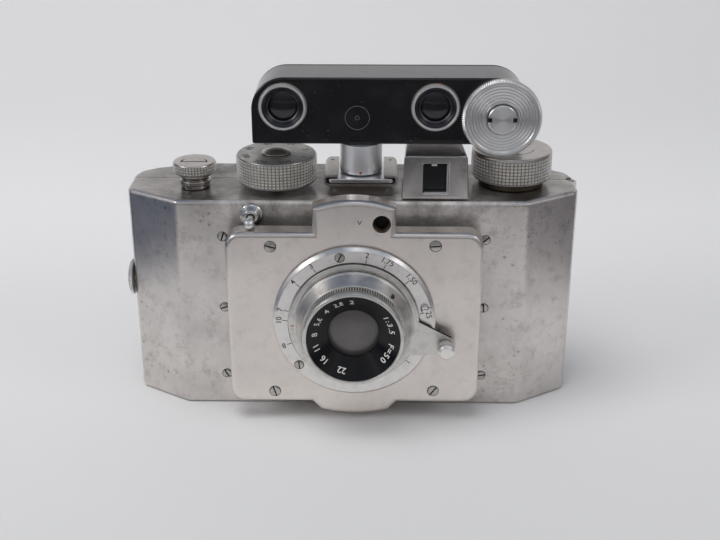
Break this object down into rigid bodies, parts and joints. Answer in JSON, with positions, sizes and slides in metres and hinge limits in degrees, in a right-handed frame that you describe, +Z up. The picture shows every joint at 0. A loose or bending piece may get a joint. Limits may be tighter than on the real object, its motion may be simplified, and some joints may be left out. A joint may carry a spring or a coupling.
{
  "type": "roll-film viewfinder camera",
  "caption": "Metal roll-film camera with a pull-out lens standard, a focusing lever and knurled top knobs; a black accessory rangefinder with a large wheel sits in its shoe.",
  "frame": {"origin": "middle of the body's base", "axes": "-Y the way the lens looks, +X right for somebody facing the lens, +Z up"},
  "size_m": [0.1359, 0.0578, 0.1007],
  "materials": {
    "aluminium": "polished, aged",
    "nickel": "worn nickel plate",
    "steel": "satin",
    "brass": "dull",
    "black_lacquer": "gloss black lacquer",
    "blackened": "matt black",
    "cloth": "rubberised cloth",
    "glass": "clear",
    "mirror": "silvered",
    "red_glass": "red"
  },
  "bodies": {
    "camera_body": {"body_shell": "aluminium", "film_chassis": "blackened", "shutter_blind": "cloth", "tripod_bush": "brass", "accessory_shoe": "nickel", "viewfinder_housing": "aluminium", "viewfinder_front_lens": "glass", "viewfinder_eyepiece": "glass", "release_collar": "nickel", "strut_frame": "steel", "back_hinge_pin": "steel", "supply_collar": "nickel", "wind_collar": "brass", "bellows": "cloth"},
    "standard": {"lens_board": "aluminium", "board_frame": "steel", "tab_bush": "brass", "scale_ring": "aluminium", "focus_stop_pin": "steel"},
    "focus_lever": {"focus_lever": "aluminium", "focus_pin": "aluminium"},
    "lens_tube": {"lens_tube": "aluminium", "name_ring": "black_lacquer", "name_ring_rim": "aluminium", "front_element": "glass", "rear_element": "glass", "iris_diaphragm": "blackened"},
    "aperture_ring": {"aperture_ring": "aluminium"},
    "strut_a_left": {"strut_a_left": "steel"},
    "strut_a_right": {"strut_a_right": "steel"},
    "strut_b_left": {"strut_b_left": "steel"},
    "strut_b_right": {"strut_b_right": "steel"},
    "wind": {"wind_knob": "aluminium", "take_up_spool": "blackened"},
    "shutter_drum": {"shutter_drum": "steel"},
    "speed_dial": {"speed_dial": "aluminium", "dial_cap": "nickel"},
    "blind_roller": {"blind_roller": "steel"},
    "supply_spool": {"supply_spool": "blackened"},
    "supply_knob": {"supply_knob": "aluminium"},
    "release_button": {"release_button": "nickel"},
    "back_cover": {"back_cover": "aluminium", "number_window_left": "red_glass", "number_window_right": "red_glass", "pressure_spring": "steel"},
    "pressure_plate": {"pressure_plate": "blackened"},
    "back_latch": {"back_latch": "nickel"},
    "rangefinder": {"rf_housing": "black_lacquer", "rf_cover": "black_lacquer", "rf_post": "nickel", "rf_foot": "nickel", "rf_ring_left": "nickel", "rf_ring_right": "nickel", "rf_glass_left": "glass", "rf_glass_right": "glass", "rf_fixed_mirror": "mirror", "rf_eyepiece": "nickel"},
    "rf_wheel": {"rf_wheel": "aluminium", "rf_wheel_nut": "aluminium"},
    "rf_swing_mirror": {"rf_swing_mirror": "mirror"}
  },
  "joints": [
    {"name": "standard_slide", "type": "slide", "parent": "camera_body", "child": "standard", "axis": [0, -1, 0], "range_m": [0, 0.008], "deforming": ["bellows"]},
    {"name": "focus_turn", "type": "hinge", "parent": "standard", "child": "focus_lever", "pos_m": [0.0009, -0.0308, 0.0334], "axis": [0, 1, 0], "range_deg": [-9.1, 205.1]},
    {"name": "focus_travel", "type": "slide", "parent": "standard", "child": "lens_tube", "axis": [0, -1, 0], "range_m": [-0.0001, 0.00237]},
    {"name": "aperture_turn", "type": "hinge", "parent": "lens_tube", "child": "aperture_ring", "pos_m": [0.0009, -0.0375, 0.0334], "axis": [0, 1, 0], "range_deg": [0, 100]},
    {"name": "strut_a_left_swing", "type": "hinge", "parent": "camera_body", "child": "strut_a_left", "pos_m": [-0.0298, -0.0153, 0.0184], "axis": [1, 0, 0], "range_deg": [0, 16]},
    {"name": "strut_b_left_swing", "type": "hinge", "parent": "standard", "child": "strut_b_left", "pos_m": [-0.0285, -0.0183, 0.0184], "axis": [-1, 0, 0], "range_deg": [0, 16]},
    {"name": "strut_a_right_swing", "type": "hinge", "parent": "camera_body", "child": "strut_a_right", "pos_m": [0.0316, -0.0153, 0.0184], "axis": [1, 0, 0], "range_deg": [0, 16]},
    {"name": "strut_b_right_swing", "type": "hinge", "parent": "standard", "child": "strut_b_right", "pos_m": [0.0303, -0.0183, 0.0184], "axis": [-1, 0, 0], "range_deg": [0, 16]},
    {"name": "wind_turn", "type": "hinge", "parent": "camera_body", "child": "wind", "pos_m": [0.0473, 0.0003, 0], "axis": [0, 0, 1], "continuous": true},
    {"name": "drum_turn", "type": "hinge", "parent": "camera_body", "child": "shutter_drum", "pos_m": [-0.0223, -0.0043, 0], "axis": [0, 0, 1], "continuous": true},
    {"name": "dial_lift", "type": "slide", "parent": "shutter_drum", "child": "speed_dial", "axis": [0, 0, 1], "range_m": [0, 0.002], "stiffness_N_per_m": 300},
    {"name": "roller_turn", "type": "hinge", "parent": "camera_body", "child": "blind_roller", "pos_m": [0.0241, -0.0043, 0], "axis": [0, 0, 1], "continuous": true},
    {"name": "supply_turn", "type": "hinge", "parent": "camera_body", "child": "supply_spool", "pos_m": [-0.0465, -0.005, 0], "axis": [0, 0, 1], "continuous": true},
    {"name": "supply_lift", "type": "slide", "parent": "supply_spool", "child": "supply_knob", "axis": [0, 0, 1], "range_m": [0, 0.0065]},
    {"name": "release_press", "type": "slide", "parent": "camera_body", "child": "release_button", "axis": [0, 1, 0], "range_m": [0, 0.001], "stiffness_N_per_m": 200},
    {"name": "back_swing", "type": "hinge", "parent": "camera_body", "child": "back_cover", "pos_m": [0.066, 0.0028, 0], "axis": [0, 0, -1], "range_deg": [0, 110]},
    {"name": "plate_float", "type": "slide", "parent": "back_cover", "child": "pressure_plate", "axis": [0, 1, 0], "range_m": [0, 0.0004], "stiffness_N_per_m": 500},
    {"name": "latch_turn", "type": "hinge", "parent": "camera_body", "child": "back_latch", "pos_m": [-0.0667, -0.0035, 0.0363], "axis": [1, 0, 0], "range_deg": [0, 90]},
    {"name": "rf_slide", "type": "slide", "parent": "camera_body", "child": "rangefinder", "axis": [0, 1, 0], "range_m": [0, 0.019]},
    {"name": "rf_wheel_turn", "type": "hinge", "parent": "rangefinder", "child": "rf_wheel", "pos_m": [0.0427, -0.0115, 0.0892], "axis": [0, -1, 0], "range_deg": [0, 270]},
    {"name": "rf_mirror_swing", "type": "hinge", "parent": "rangefinder", "child": "rf_swing_mirror", "pos_m": [0.0238, -0.0013, 0.09215], "axis": [0, 0, 1], "range_deg": [0, 1.1]}
  ],
  "couplings": [
    {"joint": "focus_turn", "follows": "focus_travel", "rad_per_m": 1508.3},
    {"joint": "roller_turn", "follows": "drum_turn", "ratio": 1},
    {"joint": "rf_mirror_swing", "follows": "rf_wheel_turn", "ratio": 0.0037},
    {"joint": "strut_a_left_swing", "follows": "standard_slide", "rad_per_m": 34.4},
    {"joint": "strut_b_left_swing", "follows": "standard_slide", "rad_per_m": 34.4},
    {"joint": "strut_a_right_swing", "follows": "standard_slide", "rad_per_m": 34.4},
    {"joint": "strut_b_right_swing", "follows": "standard_slide", "rad_per_m": 34.4}
  ]
}
